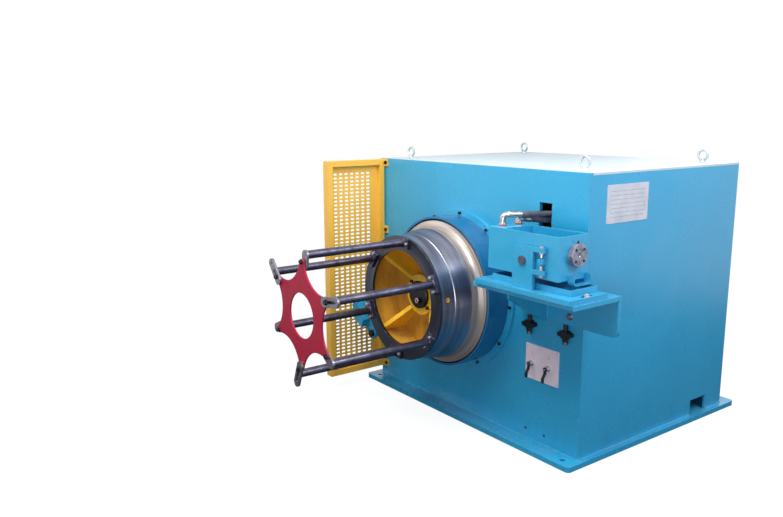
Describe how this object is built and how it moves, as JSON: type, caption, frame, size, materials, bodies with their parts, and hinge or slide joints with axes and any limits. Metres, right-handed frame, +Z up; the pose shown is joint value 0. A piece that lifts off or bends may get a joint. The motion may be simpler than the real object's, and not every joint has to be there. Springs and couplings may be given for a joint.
{
  "type": "wire drawing machine",
  "caption": "Wire drawing machine: a welded housing with a drawing drum and spider collector in front, a die box on a shelf and a slotted guard.",
  "frame": {"origin": "underside of the base plate, at its middle", "axes": "+Z up, -Y to the front where the drum is, +X to the right"},
  "size_m": [1.739, 2.211, 1.393],
  "materials": {
    "blue_paint": "glossy machine paint",
    "pale_cover": "pale glossy sheet",
    "yellow_paint": "glossy paint",
    "red_paint": "satin paint",
    "drum_steel": "ground and polished, dark",
    "bright_steel": "turned, worn bright by the wire",
    "rod_steel": "dark oiled bar",
    "black_steel": "blackened",
    "plated_steel": "bright plated",
    "grey_steel": "turned",
    "grey_plate": "satin sheet",
    "hose_rubber": "matt hose cover",
    "fitting_metal": "plated fittings"
  },
  "bodies": {
    "machine": {"base_plate": "blue_paint", "front_plate": "blue_paint", "back_plate": "blue_paint", "left_side_plate": "blue_paint", "right_side_plate": "blue_paint", "flange_plate": "blue_paint", "collar_ring": "blue_paint", "press_arm": "blue_paint", "bracket_plate": "blue_paint", "shelf_plate": "blue_paint", "shelf_gusset": "blue_paint", "slide_plate": "blue_paint", "drip_tray": "blue_paint", "cradle": "blue_paint", "top_cover": "pale_cover", "guard_frame": "yellow_paint", "guard_mesh": "yellow_paint", "spindle_cartridge": "bright_steel", "jack_blocks": "black_steel", "jack_screws": "black_steel", "press_pivot": "black_steel", "eye_bolts": "plated_steel", "adjusting_screws": "plated_steel", "valve_stems": "plated_steel", "pivot_pins": "grey_steel", "valve_plate": "grey_plate"},
    "drum": {"spindle": "bright_steel", "wire_ring": "bright_steel", "drum_shell": "drum_steel", "drum_front_ring": "drum_steel", "drum_disc": "yellow_paint", "drum_hub": "yellow_paint", "hub_cap": "black_steel", "hub_ribs": "yellow_paint", "collector_rods": "rod_steel", "rod_links": "rod_steel", "star_plate": "red_paint"},
    "die_holder": {"die_holder_block": "blue_paint", "die_box": "blue_paint", "inlet_disc": "grey_steel", "drip_spout": "blue_paint", "hose_fittings": "fitting_metal", "hoses": "hose_rubber"},
    "left_lever": {"valve_lever_left": "black_steel"},
    "right_lever": {"valve_lever_right": "black_steel"}
  },
  "joints": [
    {"name": "drum_spin", "type": "hinge", "parent": "machine", "child": "drum", "pos_m": [-0.0725, -0.783, 0.677], "axis": [0, -1, 0], "continuous": true},
    {"name": "die_box_tilt", "type": "hinge", "parent": "machine", "child": "die_holder", "pos_m": [0.661, -0.761, 0.972], "axis": [0, 1, 0], "range_deg": [-2, 2]},
    {"name": "left_valve_turn", "type": "hinge", "parent": "machine", "child": "left_lever", "pos_m": [0.469, -0.611, 0.41], "axis": [0, -1, 0], "range_deg": [0, 90]},
    {"name": "right_valve_turn", "type": "hinge", "parent": "machine", "child": "right_lever", "pos_m": [0.572, -0.611, 0.41], "axis": [0, -1, 0], "range_deg": [0, 90]}
  ]
}
